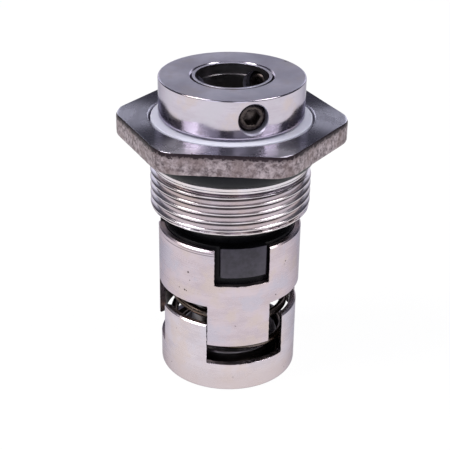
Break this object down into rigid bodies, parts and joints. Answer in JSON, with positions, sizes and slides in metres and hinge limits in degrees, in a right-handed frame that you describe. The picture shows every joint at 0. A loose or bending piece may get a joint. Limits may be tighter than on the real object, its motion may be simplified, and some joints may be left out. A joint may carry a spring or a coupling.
{
  "type": "cartridge mechanical shaft seal",
  "caption": "Cartridge mechanical seal for a pump shaft: hexagon carrier with outside thread, sprung seal ring driven by castellated cups, clamping collar with set screws.",
  "frame": {"origin": "centre of the drive cup's base, on the shaft axis", "axes": "+Z along the shaft axis towards the clamping collar, -Y towards one flat of the hexagon"},
  "size_m": [0.0396, 0.0358, 0.0553],
  "materials": {
    "brushed_steel": "turned and brushed stainless steel",
    "machined_steel": "fine turned stainless steel",
    "spring_steel": "drawn stainless wire",
    "cast_steel": "investment cast stainless steel, turned where it seals",
    "dark_steel": "dark hardened screw steel",
    "seal_carbide": "ground dark carbide",
    "black_rubber": "smooth black rubber",
    "white_plastic": "satin white plastic"
  },
  "bodies": {
    "rotor": {"drive_cup": "brushed_steel", "shaft_sleeve": "machined_steel", "shaft_o_ring": "black_rubber", "clamp_collar": "brushed_steel", "pressure_spring": "spring_steel"},
    "screw_1": {"set_screw_1": "dark_steel"},
    "screw_2": {"set_screw_2": "dark_steel"},
    "screw_3": {"set_screw_3": "dark_steel"},
    "follower": {"ring_retainer": "brushed_steel", "rotating_ring": "seal_carbide", "ring_o_ring": "black_rubber"},
    "gland": {"seal_carrier": "cast_steel", "carrier_o_ring": "black_rubber", "stationary_seat": "seal_carbide", "seat_o_ring": "black_rubber", "spacer_washer": "white_plastic"}
  },
  "joints": [
    {"name": "ring_slide", "type": "slide", "parent": "rotor", "child": "follower", "axis": [0, 0, 1], "range_m": [-0.0035, 0], "stiffness_N_per_m": 3000, "springref_m": 0.006, "deforming": ["pressure_spring"]},
    {"name": "gland_spin", "type": "hinge", "parent": "follower", "child": "gland", "pos_m": [0, 0, 0.03015], "axis": [0, 0, 1], "continuous": true},
    {"name": "screw_1_travel", "type": "slide", "parent": "rotor", "child": "screw_1", "axis": [0.3453, -0.9385, 0], "range_m": [-0.0005, 0.0025]},
    {"name": "screw_2_travel", "type": "slide", "parent": "rotor", "child": "screw_2", "axis": [0.6401, 0.7683, 0], "range_m": [-0.0005, 0.0025]},
    {"name": "screw_3_travel", "type": "slide", "parent": "rotor", "child": "screw_3", "axis": [-0.9854, 0.1702, 0], "range_m": [-0.0005, 0.0025]}
  ]
}
